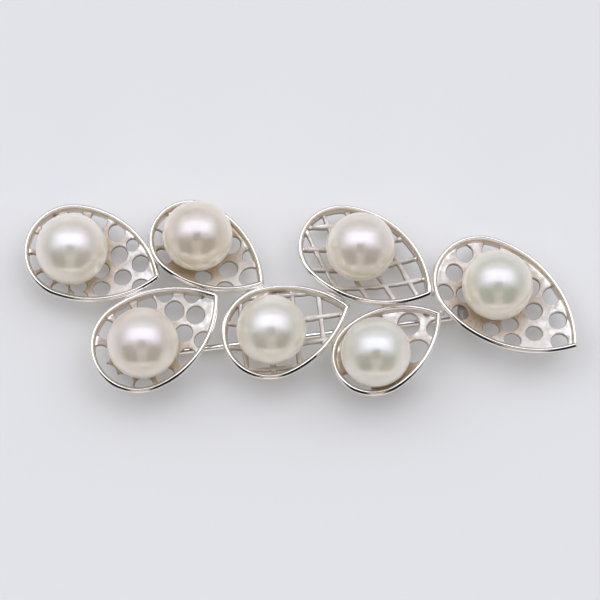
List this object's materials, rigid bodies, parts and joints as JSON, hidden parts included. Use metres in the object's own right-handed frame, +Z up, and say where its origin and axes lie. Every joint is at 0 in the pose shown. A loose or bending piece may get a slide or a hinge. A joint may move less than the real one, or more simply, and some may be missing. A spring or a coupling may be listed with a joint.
{
  "type": "pearl brooch",
  "caption": "Silver pearl brooch: petal-shaped settings soldered side by side, pierced with round holes or openwork bars, a cream pearl in each, and a straight pin stem behind.",
  "frame": {"origin": "centre of the brooch's outline on the surface that it lies on", "axes": "+X along the brooch's length towards the far right petal, +Y towards the far side of the picture, +Z up, out of the pearls"},
  "size_m": [0.0599, 0.0224, 0.0099],
  "materials": {
    "silver": "polished",
    "pearl": "gloss"
  },
  "bodies": {
    "root": {"silver_frame": "silver", "pin": "silver", "pearl_far_left": "pearl", "pearl_upper_left": "pearl", "pearl_lower_left": "pearl", "pearl_lower_middle": "pearl", "pearl_upper_middle": "pearl", "pearl_lower_right": "pearl", "pearl_far_right": "pearl"}
  },
  "joints": []
}
